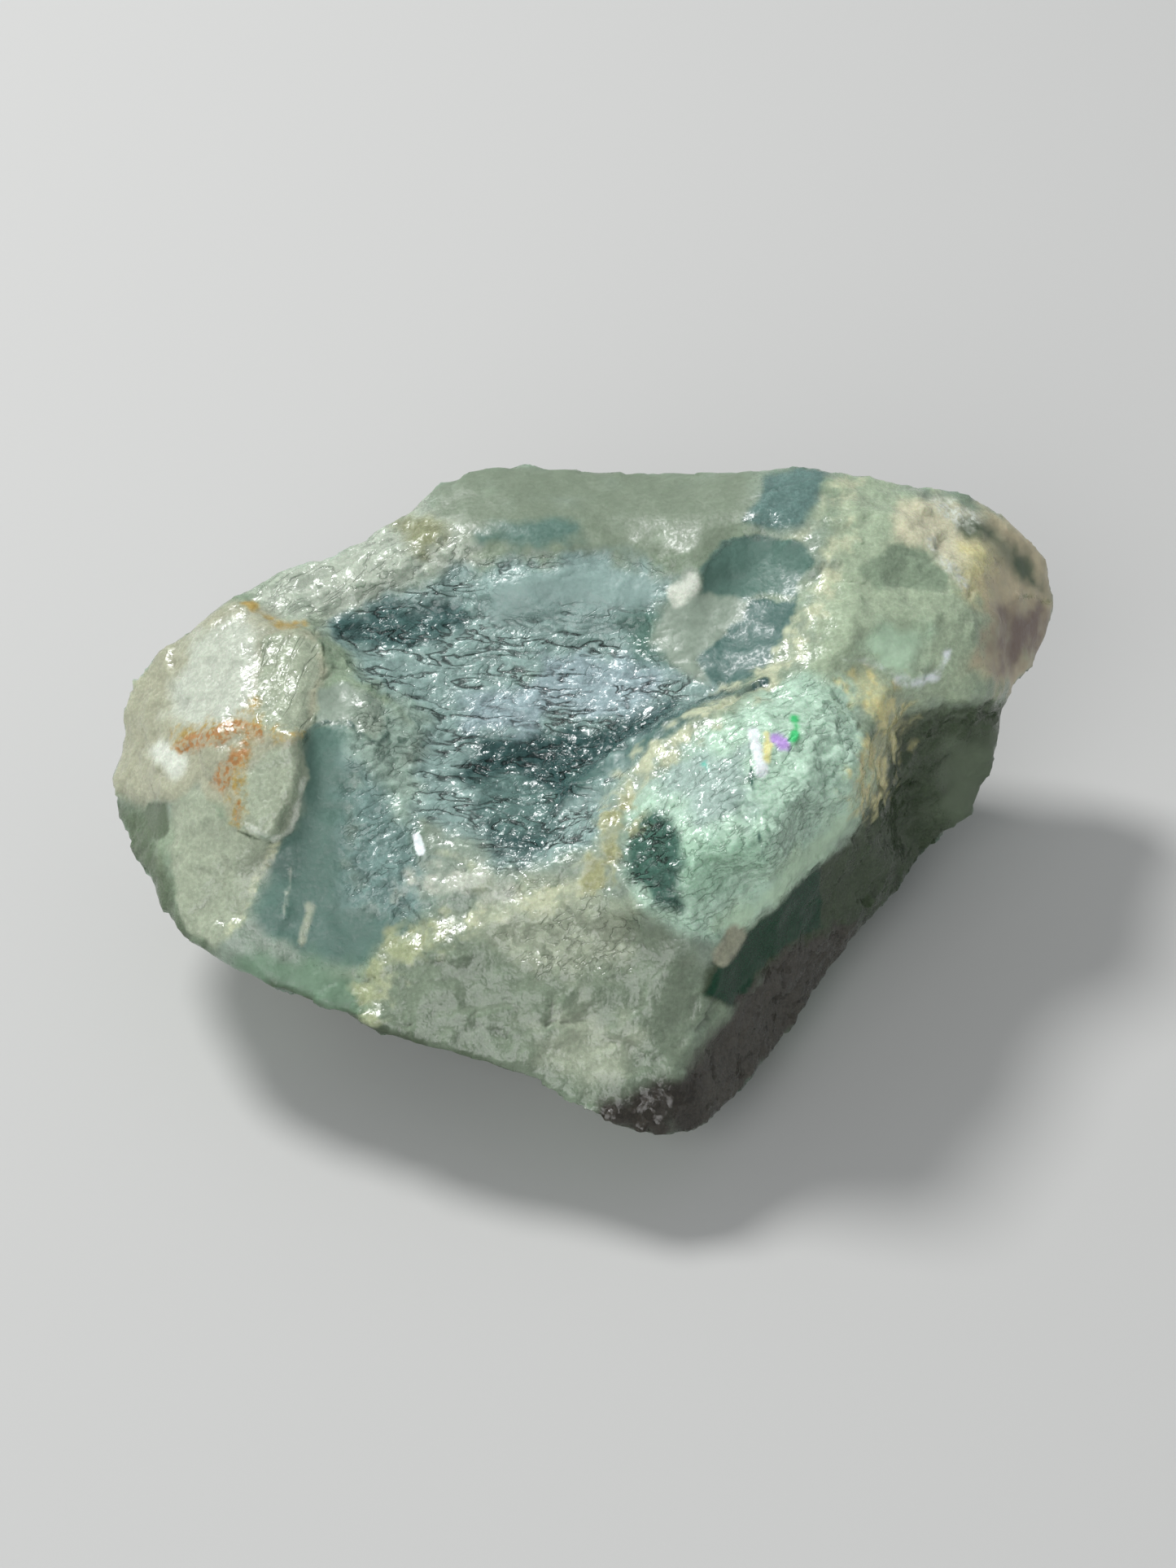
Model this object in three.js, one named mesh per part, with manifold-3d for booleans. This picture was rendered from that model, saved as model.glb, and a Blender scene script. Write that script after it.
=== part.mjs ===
// Rough fluorite: one broken, cleaved chunk of green crystal that lies on a flat cleavage face.
// Millimetres, +Z up. The stone is longest along X. Its origin is the middle of its bounding
// box, on the table. The side that faces -Y is the front.
import * as THREE from 'three';
import { ConvexHull } from 'three/addons/math/ConvexHull.js';
import { ImprovedNoise } from 'three/addons/math/ImprovedNoise.js';
import { mergeVertices } from 'three/addons/utils/BufferGeometryUtils.js';
import Module from 'manifold-3d';

// The view in which the visible corners are measured. The eye stands in front of the stone and
// looks down on it, and the frame's pixels are of this size at the middle of the view.
const VIEW_PITCH = THREE.MathUtils.degToRad(45);
const VIEW_DISTANCE = 250;
const VIEW_MIDDLE = new THREE.Vector3(0.45, 2.2, 16.5);
const PIXELS_PER_MM = 16.5;
const FRAME_MIDDLE_X = 722.5;
const FRAME_MIDDLE_Y = 963.5;

// The longest edge of a facet, on the side that shows its grain and on the plain underside.
const FINE_EDGE = 2.15;
const COARSE_EDGE = 3.6;
const COARSE_BELOW = 9;

// The block that splits a flat face off is larger than the stone.
const BLOCK_SIZE = 120;

// How often the ridges are worn down, and how far each point moves towards its neighbours' middle
// and back again.
const WEAR_PASSES = 8;
const WEAR_IN = 0.5;
const WEAR_OUT = -0.52;

// The size of each kind of relief, from crest to crest, and the seed of its noise.
const LUMPS = { size: 9, seed: 11.5 };
const HACKLE = { size: 3.6, seed: 23.5 };
const WRINKLES = { spacing: 3.2, length: 9, sharpness: 3, seed: 4.5 };
const WRINKLE_BEND = { size: 9, seed: 31.5 };

// The relief is at its full height from here up, and fades out towards the flat rest face.
const RELIEF_FROM = 3;

// A ledge rises within this width, and slopes back to the stone's own level over this reach.
const LEDGE_WIDTH = 1.2;
const LEDGE_REACH = 5;

// How high each kind of relief stands on each kind of surface, and how far its edges are worn.
const FINISH = {
  cleaved: { lumps: 0.3, hackle: 0.2, wrinkles: 0, wear: 0.8 },
  broken: { lumps: 1, hackle: 1, wrinkles: 0, wear: 0.9 },
  wrinkled: { lumps: 0.7, hackle: 0.4, wrinkles: 0.45, wear: 1 },
  rounded: { lumps: 0.8, hackle: 0.6, wrinkles: 0, wear: 0.6 },
  crusty: { lumps: 0.8, hackle: 0.9, wrinkles: 0, wear: 1 },
  edge: { lumps: 0.5, hackle: 0.6, wrinkles: 0, wear: 0.35 },
};

// The cleavage planes that carry the stone's main faces, each through three points that are
// given as in the corners below: pixels across and down the view, and height over the table.
const PLANES = {
  top: [[600, 600, 29.5], [1150, 640, 29.5], [700, 1000, 21.5]],
  tealFacet: [[385, 890, 24], [500, 1150, 15], [300, 1180, 13.2]],
  leftFacet: [[210, 1000, 17.5], [330, 1030, 18.7], [255, 1160, 13.2]],
  frontFace: [[560, 1130, 17.5], [840, 1180, 16], [700, 1345, 10.2]],
  rightFace: [[1112, 872, 21.5], [1222, 935, 12.5], [1140, 1045, 6.2]],
  underLobe: [[1067, 992, 19], [1000, 1062, 18.4], [1035, 1180, 4.2]],
  crustFace: [[900, 1155, 17], [975, 1265, 4.2], [870, 1375, 5.8]],
};

// The outline that the view shows, clockwise from the left tip. Each corner is given as pixels
// across and down the view, and its height over the table.
const OUTLINE = {
  leftEnd: {
    finish: 'rounded',
    corners: [
      [137, 985, 13.6], [153, 930, 15.6], [150, 875, 17.8], [160, 832, 19.2], [195, 800, 21.4],
    ],
  },
  backEdge: {
    finish: 'edge',
    corners: [
      [235, 775, 23.2], [290, 745, 24.4], [312, 722, 25], [345, 700, 25.8], [430, 672, 26.6],
      [505, 630, 27.4], [532, 602, 28], [560, 588, 28.3], [600, 575, 28.6], [650, 570, 28.6],
      [700, 572, 28.6], [770, 580, 28.4], [850, 583, 28.8], [900, 582, 29.4], [945, 579, 29.9],
      [992, 577, 30.2], [1044, 580, 30.2], [1096, 587, 29.4], [1148, 592, 28.4],
    ],
  },
  nose: {
    finish: 'rounded',
    corners: [
      [1192, 600, 27.2], [1228, 624, 25.8], [1260, 656, 23.6], [1282, 690, 21.2], [1293, 722, 19],
      [1294, 750, 17.8], [1280, 790, 17], [1262, 815, 17.2], [1236, 838, 17.6],
    ],
  },
  lowEdge: {
    finish: 'edge',
    corners: [
      [1222, 870, 16.8], [1222, 900, 14.8], [1222, 935, 12.5], [1205, 965, 10.4], [1190, 1000, 8.5],
      [1165, 1030, 7], [1140, 1045, 6.2], [1120, 1075, 5.4], [1095, 1110, 4.8], [1060, 1145, 4.4],
      [1035, 1180, 4.2], [1005, 1220, 4.2], [975, 1265, 4.2], [940, 1310, 4.6], [902, 1347, 5.2],
    ],
  },
  frontRim: {
    finish: 'edge',
    corners: [
      [872, 1377, 5.8], [846, 1394, 6.6], [810, 1403, 7.4], [760, 1391, 8.4], [720, 1370, 9.2],
      [680, 1345, 10], [630, 1325, 10.6], [580, 1307, 11], [520, 1283, 11.4], [450, 1255, 11.6],
      [400, 1240, 11.8], [350, 1222, 12], [320, 1205, 12.2], [280, 1184, 12.4], [240, 1162, 12.5],
      [215, 1142, 12.6],
    ],
  },
  leftFoot: {
    finish: 'edge',
    corners: [[195, 1115, 12.7], [170, 1070, 12.9], [150, 1040, 13.2]],
  },
};

// The visible corners inside the outline, given in the same way. Where a region names its plane,
// the third number is the height over that plane.
const SEEN = {
  plateau: {
    finish: 'cleaved',
    plane: 'top',
    corners: [
      [640, 640, 0], [550, 655, -0.2], [760, 640, -0.4], [870, 640, 0], [960, 630, 0.9],
      [860, 700, 0.1], [900, 740, -0.7], [960, 740, 0.3],
    ],
  },
  rightShoulder: {
    finish: 'broken',
    plane: 'top',
    corners: [
      [1040, 650, 1.3], [1120, 660, 0.6], [1190, 690, -0.6], [1010, 720, 1.2], [985, 800, 1],
      [1070, 770, 1], [1150, 760, -0.4], [1220, 760, -3], [930, 850, 0.8], [1020, 830, 1.2],
      [1090, 845, 0.2], [1140, 840, -1.3], [1200, 850, -3.6],
    ],
  },
  hollow: {
    finish: 'wrinkled',
    plane: 'top',
    corners: [
      [480, 700, -0.3], [450, 795, -1.6], [560, 770, -1.6], [620, 715, -0.4], [740, 710, -0.3],
      [700, 775, -1.5], [800, 750, -0.6], [560, 860, -2], [640, 860, -2], [720, 860, -2],
      [800, 850, -1.6], [870, 850, -0.6], [740, 940, -1.2], [480, 880, -0.6], [520, 950, -1.4],
      [570, 1010, -1], [610, 1070, -0.4], [640, 950, -2], [700, 1060, 0.3],
    ],
  },
  leftLobe: {
    finish: 'broken',
    plane: 'top',
    corners: [
      [400, 730, -0.6], [385, 775, 0.4], [310, 790, 0.4], [320, 850, 0.6], [240, 830, -1.6],
      [190, 885, -3.6],
    ],
  },
  leftShoulder: {
    finish: 'broken',
    corners: [[280, 915, 23], [220, 940, 19.8], [165, 985, 15.4]],
  },
  leftStep: {
    finish: 'edge',
    plane: 'tealFacet',
    corners: [[362, 905, 1.2], [362, 960, 1.2], [328, 1022, 1.3]],
  },
  leftFacet: {
    finish: 'cleaved',
    plane: 'leftFacet',
    corners: [
      [295, 1012, 1.2], [215, 1000, 0], [290, 1080, 0], [225, 1080, 0], [195, 1060, -0.4], [262, 1158, 0],
    ],
  },
  tealFacet: {
    finish: 'cleaved',
    plane: 'tealFacet',
    corners: [
      [385, 890, 0], [440, 895, 0], [375, 950, 0], [352, 1030, 0], [470, 990, 0], [520, 1060, 0.3],
      [400, 1120, 0], [480, 1150, 0], [320, 1110, 0], [305, 1175, 0], [455, 1225, 0],
    ],
  },
  lobe: {
    finish: 'rounded',
    plane: 'top',
    corners: [
      [870, 905, 2.2], [940, 900, 3], [1010, 900, 2.6], [1075, 900, 0.2], [900, 970, 4.1],
      [990, 970, 3.2], [1045, 965, 1.4], [940, 1040, 3.8], [860, 1050, 3.4], [800, 1110, 1.4],
      [765, 1050, 0.8], [775, 985, 0.9], [810, 925, 0.9],
    ],
  },
  lobeRim: {
    finish: 'edge',
    corners: [
      [1066, 985, 19.6], [1040, 1016, 19.4], [1000, 1055, 19], [952, 1105, 18.2], [900, 1150, 17.2],
      [850, 1150, 18.4],
    ],
  },
  frontFace: {
    finish: 'broken',
    plane: 'frontFace',
    corners: [
      [600, 1140, 0], [700, 1130, 0.8], [780, 1150, 0.6], [560, 1215, 0], [680, 1230, 0.5],
      [790, 1250, 0.3], [780, 1325, 0], [700, 1305, 0],
    ],
  },
  tipRidge: {
    finish: 'edge',
    plane: 'frontFace',
    corners: [[884, 1195, 0], [862, 1262, 0], [840, 1335, 0]],
  },
  rightFace: {
    finish: 'crusty',
    plane: 'rightFace',
    corners: [[1112, 875, 0], [1190, 885, 0], [1095, 930, 0], [1160, 950, 0], [1115, 1010, 0]],
  },
  underLobe: {
    finish: 'crusty',
    plane: 'underLobe',
    corners: [[1072, 1025, 0], [1018, 1080, 0], [1045, 1110, 0], [975, 1140, 0]],
  },
  crustFace: {
    finish: 'crusty',
    plane: 'crustFace',
    corners: [[960, 1190, 0], [925, 1245, 0], [885, 1320, 0]],
  },
};

// The ledges where flakes have come away. Each line is walked through these pixels of the view,
// and the stone stands higher by this much on the walker's left.
const LEDGES = {
  hollowBrim: {
    height: 0.8,
    line: [[470, 715], [540, 690], [620, 680], [715, 676], [790, 692], [850, 700]],
  },
  leftCrack: { height: 0.6, line: [[372, 890], [380, 830], [368, 775], [300, 742]] },
  panelEdge: { height: 0.6, line: [[470, 900], [455, 850], [400, 790]] },
  leftLobeFoot: { height: 0.7, line: [[150, 975], [185, 985], [225, 1000], [285, 1012]] },
  trough: { height: 0.8, line: [[945, 832], [900, 850], [820, 885], [745, 935], [700, 965]] },
  lobeCrack: { height: 0.4, line: [[925, 905], [930, 985], [940, 1065]] },
  shoulderArc: { height: 0.6, line: [[1040, 800], [1080, 772], [1130, 765], [1168, 800], [1168, 855]] },
  slatePatch: {
    height: 0.6,
    line: [[860, 720], [870, 665], [920, 655], [975, 668], [990, 700], [985, 735]],
  },
  greenPatch: { height: 0.5, line: [[1050, 790], [1060, 720], [1105, 668], [1160, 700], [1165, 760]] },
  creamRim: { height: 0.6, line: [[700, 1095], [540, 1145], [470, 1170], [450, 1235]] },
  rightRidge: { height: 0.7, line: [[1080, 958], [1120, 975], [1165, 1008]] },
};

// The corners that the view doesn't show, in millimetres.
const UNSEEN = {
  back: {
    finish: 'broken',
    corners: [
      [-31, 9, 11], [-30.5, 2, 8], [-25, 17, 15], [-17, 20, 14], [-11, 25.5, 17], [2, 26.5, 16],
      [15, 27, 14], [26, 27, 15], [33, 23, 13], [29, 15, 7.5], [-24, 13, 5], [-12, 21.5, 6],
      [4, 23.5, 4], [20, 23, 4],
    ],
  },
  underside: {
    finish: 'broken',
    corners: [[-27, -2, 5.5], [-22, -7, 6.5], [-14, -10.5, 6], [-3, -15, 5], [5, -17.5, 3.6]],
  },
  restFace: {
    finish: 'cleaved',
    corners: [
      [-21, 0, -0.5], [-18, 11, -0.4], [-6, 15, -0.6], [12, 17, -0.6], [23, 13, -0.4], [18.5, 3, -0.4],
      [13.5, -7, -0.4], [8, -12, -0.4], [-0.5, -9.5, -0.5], [-10, -5.5, -0.6], [-12, 4, -0.8], [4, 2, -1],
      [3, 10, -0.9], [14, 8, -0.8],
    ],
  },
};

// The flat faces that the crystal has split along: which way each faces, and how far it lies
// from the middle of the table under the stone.
const SPLITS = {
  restFace: { facing: [0, 0, -1], distance: 0 },
  backLeft: { facing: [-0.24, 0.91, -0.33], distance: 16.6 },
  backRight: { facing: [0.13, 0.92, -0.36], distance: 19.8 },
  lowerBack: { facing: [0, 0.55, -0.83], distance: 8.7 },
  lowerLeft: { facing: [-0.55, -0.25, -0.8], distance: 9.2 },
};

const ahead = new THREE.Vector3(0, Math.cos(VIEW_PITCH), -Math.sin(VIEW_PITCH));
const upward = new THREE.Vector3(0, Math.sin(VIEW_PITCH), Math.cos(VIEW_PITCH));
const eye = VIEW_MIDDLE.clone().addScaledVector(ahead, -VIEW_DISTANCE);

// The direction from the eye through a pixel of the view.
function sightLine(across, down) {
  const focal = PIXELS_PER_MM * VIEW_DISTANCE;
  const line = ahead.clone();
  line.x += (across - FRAME_MIDDLE_X) / focal;
  line.addScaledVector(upward, (FRAME_MIDDLE_Y - down) / focal);
  return line;
}

// The point on a pixel's sight line that has the given height.
function atHeight([across, down, height]) {
  const line = sightLine(across, down);
  return eye.clone().addScaledVector(line, (height - eye.z) / line.z);
}

// The point on a pixel's sight line that is as high as a plane is there, plus a rise.
function overPlane([across, down, rise], plane) {
  const line = new THREE.Ray(eye, sightLine(across, down).normalize());
  const height = line.intersectPlane(plane, new THREE.Vector3()).z;
  return atHeight([across, down, height + rise]);
}

// The place in the view, in pixels, of a point of the stone.
function inView(at) {
  const line = at.clone().sub(eye);
  const scale = (PIXELS_PER_MM * VIEW_DISTANCE) / line.dot(ahead);
  return new THREE.Vector2(FRAME_MIDDLE_X + line.x * scale, FRAME_MIDDLE_Y - line.dot(upward) * scale);
}

// A corner is a point, the kinds of relief on the surface around it, and whether it is seen.
function cornersOf(regions, isSeen, place) {
  return Object.values(regions).flatMap(({ finish, plane, corners }) => {
    return corners.map((corner) => ({ at: place(corner, plane), seen: isSeen ? 1 : 0, ...FINISH[finish] }));
  });
}

// Joins corners to the triangles whose circles in the view hold no other corner. They are the
// underside of the hull of the corners, lifted to a paraboloid.
function joinInView(places) {
  const lifted = places.map(({ x, y }) => new THREE.Vector3(x, y, (x * x + y * y) / FRAME_MIDDLE_Y));
  const numbers = new Map(lifted.map((point, number) => [point, number]));
  const hull = new ConvexHull().setFromPoints(lifted);
  return hull.faces.filter(({ normal }) => normal.z < 0).map(({ edge }) => {
    return [edge, edge.next, edge.next.next].map((side) => numbers.get(side.head().point));
  });
}

// Whether a place in the view is inside a closed outline.
function isInside({ x, y }, outline) {
  let inside = false;
  outline.forEach((a, number) => {
    const b = outline.at(number - 1);
    const isAcross = a.y > y !== b.y > y;
    if (isAcross && x < a.x + ((b.x - a.x) * (y - a.y)) / (b.y - a.y)) {
      inside = !inside;
    }
  });
  return inside;
}

// The seen side and the unseen side are joined separately, and meet along the outline.
function joinCorners(outline, seen, unseen) {
  const border = outline.map(({ at }) => inView(at));
  const sideOf = (inner, first, facesEye) => {
    const places = [...border, ...inner.map(({ at }) => inView(at))];
    const middleOf = (triangle) => {
      return triangle.reduce((sum, number) => sum.add(places[number]), new THREE.Vector2()).divideScalar(3);
    };
    const joined = joinInView(places).filter((triangle) => isInside(middleOf(triangle), border));
    return joined.map((triangle) => {
      const [a, b, c] = triangle.map((number) => (number < border.length ? number : number + first));
      return facesEye ? [a, b, c] : [a, c, b];
    });
  };
  return [...sideOf(seen, 0, true), ...sideOf(unseen, seen.length, false)];
}

// A new corner half way between two others.
function midway(a, b) {
  const middle = { at: a.at.clone().lerp(b.at, 0.5) };
  for (const kind of ['seen', ...Object.keys(FINISH.edge)]) {
    middle[kind] = (a[kind] + b[kind]) / 2;
  }
  return middle;
}

// The longest edge that is left whole, by the height of its middle.
function longestEdge({ at }) {
  return THREE.MathUtils.lerp(COARSE_EDGE, FINE_EDGE, THREE.MathUtils.smoothstep(at.z, 0, COARSE_BELOW));
}

// Splits the long edges of all triangles at their middles, until none is too long.
function splitLongEdges(corners, triangles) {
  const middles = new Map();
  const middleOf = (a, b) => {
    const key = Math.min(a, b) + '-' + Math.max(a, b);
    if (!middles.has(key)) {
      const middle = midway(corners[a], corners[b]);
      const isLong = corners[a].at.distanceTo(corners[b].at) > longestEdge(middle);
      middles.set(key, isLong ? corners.push(middle) - 1 : null);
    }
    return middles.get(key);
  };
  const parts = [];
  for (const triangle of triangles) {
    const [a, b, c] = triangle;
    const halves = [middleOf(a, b), middleOf(b, c), middleOf(c, a)];
    parts.push(...splitTriangle(triangle, halves));
  }
  return middles.values().some((middle) => middle !== null) ? splitLongEdges(corners, parts) : parts;
}

// Cuts a triangle into two, three or four where one, two or three of its edges are split.
function splitTriangle([a, b, c], [ab, bc, ca]) {
  const count = [ab, bc, ca].filter((middle) => middle !== null).length;
  if (count === 0) return [[a, b, c]];
  if (count === 3) return [[a, ab, ca], [b, bc, ab], [c, ca, bc], [ab, bc, ca]];
  if (count === 1 && ab === null) return splitTriangle([b, c, a], [bc, ca, ab]);
  if (count === 1) return [[a, ab, c], [ab, b, c]];
  if (ca !== null) return splitTriangle([b, c, a], [bc, ca, ab]);
  return [[ab, b, bc], [a, ab, bc], [a, bc, c]];
}

// The points that each point shares an edge with.
function neighbours(count, triangles) {
  const around = Array.from({ length: count }, () => new Set());
  for (const [a, b, c] of triangles) {
    around[a].add(b).add(c);
    around[b].add(c).add(a);
    around[c].add(a).add(b);
  }
  return around.map((set) => [...set]);
}

// Wears the ridges down and evens out the triangles. Each pass in is followed by one out, so the
// stone keeps its size.
function wearDown(corners, triangles) {
  const around = neighbours(corners.length, triangles);
  for (let pass = 0; pass < WEAR_PASSES; pass += 1) {
    for (const share of [WEAR_IN, WEAR_OUT]) {
      const moved = corners.map(({ at, wear }, number) => {
        const sum = new THREE.Vector3();
        around[number].forEach((other) => sum.add(corners[other].at));
        return at.clone().lerp(sum.divideScalar(around[number].length), share * wear);
      });
      corners.forEach((corner, number) => corner.at.copy(moved[number]));
    }
  }
}

// Which way the surface faces at each point: the mean of the triangles around it, by their area.
function pointNormals(corners, triangles) {
  const normals = corners.map(() => new THREE.Vector3());
  for (const triangle of triangles) {
    const [a, b, c] = triangle.map((number) => corners[number].at);
    const facing = new THREE.Vector3().crossVectors(b.clone().sub(a), c.clone().sub(a));
    triangle.forEach((number) => normals[number].add(facing));
  }
  return normals.map((normal) => normal.normalize());
}

// Noise between about -1 and 1, with crests that are a size apart.
const noise = new ImprovedNoise();

function noiseAt(at, { size, seed }) {
  return noise.noise(at.x / size + seed, at.y / size + seed, at.z / size - seed);
}

// Ridges that run across the hollow, and bend and break off as they go.
function wrinkleAt(at) {
  const { spacing, length, sharpness, seed } = WRINKLES;
  const across = at.y / spacing + noiseAt(at, WRINKLE_BEND);
  return 1 - sharpness * Math.abs(noise.noise(at.x / length, across, seed));
}

// How far a ledge lifts a place in the view: most just left of its line, and less past its ends.
function ledgeAt(place, { height, line }) {
  let nearest = Infinity;
  let left = 0;
  let pastEnd = 0;
  for (let number = 1; number < line.length; number += 1) {
    const start = new THREE.Vector2(...line[number - 1]);
    const way = new THREE.Vector2(...line[number]).sub(start);
    const length = way.length();
    way.divideScalar(length);
    const offset = place.clone().sub(start);
    const walked = offset.dot(way);
    const reached = THREE.MathUtils.clamp(walked, 0, length);
    const distance = offset.distanceTo(way.clone().multiplyScalar(reached));
    if (distance < nearest) {
      nearest = distance;
      left = offset.cross(way) / PIXELS_PER_MM;
      pastEnd = Math.abs(walked - reached) / PIXELS_PER_MM;
    }
  }
  const lift = THREE.MathUtils.smoothstep(left, -LEDGE_WIDTH / 2, LEDGE_WIDTH / 2);
  const slope = Math.exp(-Math.max(left, 0) / LEDGE_REACH);
  return height * lift * slope * (1 - THREE.MathUtils.smoothstep(pastEnd, 0, LEDGE_REACH));
}

// Raises the lumps, grain, wrinkles and ledges out of the surface.
function addRelief(corners, triangles) {
  const normals = pointNormals(corners, triangles);
  corners.forEach(({ at, seen, lumps, hackle, wrinkles }, number) => {
    const place = inView(at);
    const ledges = Object.values(LEDGES).reduce((sum, ledge) => sum + ledgeAt(place, ledge), 0);
    const lump = noiseAt(at, LUMPS) * lumps;
    const grain = -Math.abs(noiseAt(at, HACKLE)) * hackle;
    const rise = lump + grain + wrinkleAt(at) * wrinkles + ledges * seen;
    at.addScaledVector(normals[number], rise * THREE.MathUtils.smoothstep(at.z, 0, RELIEF_FROM));
  });
}

const wasm = await Module();
wasm.setup();

// A closed mesh as a solid that others can be cut from.
function solidOf(vertProperties, triVerts) {
  return new wasm.Manifold(new wasm.Mesh({ numProp: 3, vertProperties, triVerts }));
}

// A block that has one side on a plane, and lies beyond it.
function blockBeyond({ facing, distance }) {
  const block = new THREE.BoxGeometry(BLOCK_SIZE, BLOCK_SIZE, BLOCK_SIZE);
  const normal = new THREE.Vector3(...facing).normalize();
  block.translate(0, 0, distance + BLOCK_SIZE / 2);
  block.applyQuaternion(new THREE.Quaternion().setFromUnitVectors(new THREE.Vector3(0, 0, 1), normal));
  block.deleteAttribute('normal');
  block.deleteAttribute('uv');
  const merged = mergeVertices(block);
  return solidOf(merged.attributes.position.array, new Uint32Array(merged.index.array));
}

// Splits the stone along its cleavage planes.
function cleave(corners, triangles) {
  const rough = solidOf(
    new Float32Array(corners.flatMap(({ at }) => at.toArray())),
    new Uint32Array(triangles.flat()),
  );
  const split = Object.values(SPLITS).reduce((stone, plane) => stone.subtract(blockBeyond(plane)), rough);
  const { vertProperties, triVerts } = split.getMesh();
  const geometry = new THREE.BufferGeometry();
  geometry.setAttribute('position', new THREE.BufferAttribute(vertProperties, 3));
  geometry.setIndex(new THREE.BufferAttribute(triVerts, 1));
  return geometry;
}

// The stone: the corners are joined, split finely, worn, given their relief and cleaved.
const planes = Object.fromEntries(Object.entries(PLANES).map(([name, anchors]) => {
  return [name, new THREE.Plane().setFromCoplanarPoints(...anchors.map(atHeight))];
}));
const placeSeen = (corner, plane) => (plane ? overPlane(corner, planes[plane]) : atHeight(corner));
const outline = cornersOf(OUTLINE, true, placeSeen);
const seen = cornersOf(SEEN, true, placeSeen);
const unseen = cornersOf(UNSEEN, false, (corner) => new THREE.Vector3(...corner));
const corners = [...outline, ...seen, ...unseen];
const cage = joinCorners(outline, seen, unseen);
const triangles = splitLongEdges(corners, cage);
wearDown(corners, triangles);
addRelief(corners, triangles);

// The cleaved stone stands with the middle of its box over the origin.
const stoneGeometry = cleave(corners, triangles);
stoneGeometry.computeBoundingBox();
const middle = stoneGeometry.boundingBox.getCenter(new THREE.Vector3());
stoneGeometry.translate(-middle.x, -middle.y, 0);
stoneGeometry.computeVertexNormals();

const fluorite = new THREE.MeshStandardMaterial({ color: 0x86a096, roughness: 0.25, metalness: 0 });
const fluoriteChunk = new THREE.Mesh(stoneGeometry, fluorite);
fluoriteChunk.name = 'fluorite_chunk';

const stone = new THREE.Group();
stone.add(fluoriteChunk);
export default stone;
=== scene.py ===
from math import cos, radians, sin

import bmesh
import bpy
import numpy as np
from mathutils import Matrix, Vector, noise
from mathutils.bvhtree import BVHTree


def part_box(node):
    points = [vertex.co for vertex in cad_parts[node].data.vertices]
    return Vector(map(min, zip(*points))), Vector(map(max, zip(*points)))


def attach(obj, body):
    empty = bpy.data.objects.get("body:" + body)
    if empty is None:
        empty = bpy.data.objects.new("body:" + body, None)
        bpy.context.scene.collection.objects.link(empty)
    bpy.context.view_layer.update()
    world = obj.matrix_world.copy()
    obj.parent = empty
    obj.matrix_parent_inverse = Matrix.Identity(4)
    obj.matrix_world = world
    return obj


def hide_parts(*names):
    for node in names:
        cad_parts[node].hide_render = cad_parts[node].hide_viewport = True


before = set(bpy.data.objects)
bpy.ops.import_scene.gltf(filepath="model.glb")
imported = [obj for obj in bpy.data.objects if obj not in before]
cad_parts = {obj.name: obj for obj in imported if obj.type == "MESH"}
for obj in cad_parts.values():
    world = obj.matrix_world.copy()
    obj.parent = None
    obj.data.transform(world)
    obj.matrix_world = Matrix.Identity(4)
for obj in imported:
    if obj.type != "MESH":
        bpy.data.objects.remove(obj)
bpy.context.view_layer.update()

# The view
# The photograph looks down on the stone from in front, at 45 degrees. Places on the visible side
# are named below by their pixels in that view, and its scale is known at the view's middle.
MM = 0.001
VIEW_PITCH = radians(45)
VIEW_DISTANCE = 250
VIEW_MIDDLE = np.array([-0.157, 0.976, 16.5])
PIXELS_PER_MM = 16.5
FRAME_WIDTH = 1445
FRAME_HEIGHT = 1927
SENSOR = 36

ahead = np.array([0, cos(VIEW_PITCH), -sin(VIEW_PITCH)])
upward = np.array([0, sin(VIEW_PITCH), cos(VIEW_PITCH)])
eye = VIEW_MIDDLE - VIEW_DISTANCE * ahead

camera = bpy.data.objects.new("camera", bpy.data.cameras.new("camera"))
camera.location = Vector(eye * MM)
camera.rotation_euler = (VIEW_PITCH, 0, 0)
camera.data.sensor_width = SENSOR
camera.data.lens = SENSOR * PIXELS_PER_MM * VIEW_DISTANCE / FRAME_HEIGHT
camera.data.clip_start = 10 * MM
bpy.context.scene.collection.objects.link(camera)
bpy.context.scene.camera = camera


def pixels_of(places):
    """The pixels in the view, across and down, of places in millimetres."""
    sight = places - eye
    scale = PIXELS_PER_MM * VIEW_DISTANCE / (sight @ ahead)
    across = FRAME_WIDTH / 2 + sight[:, 0] * scale
    down = FRAME_HEIGHT / 2 - (sight @ upward) * scale
    return np.stack([across, down], axis=1)


# The studio
# A plain pale table, a soft lamp high behind the stone that lights its top and makes it glint,
# and weaker soft light from in front and from all round.
TABLE_SIZE = 3
TABLE_COLOUR = (0.48, 0.48, 0.47, 1)
TABLE_ROUGHNESS = 0.9
LAMPS = {
    "back_lamp": {"towards": (-0.42, 0.40, 0.82), "distance": 0.6, "size": 0.16, "power": 3.0},
    "front_lamp": {"towards": (-0.40, -0.80, 0.62), "distance": 0.8, "size": 0.6, "power": 3.0},
}
SKY_COLOUR = (0.80, 0.83, 0.86, 1)
SKY_STRENGTH = 0.45

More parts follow.
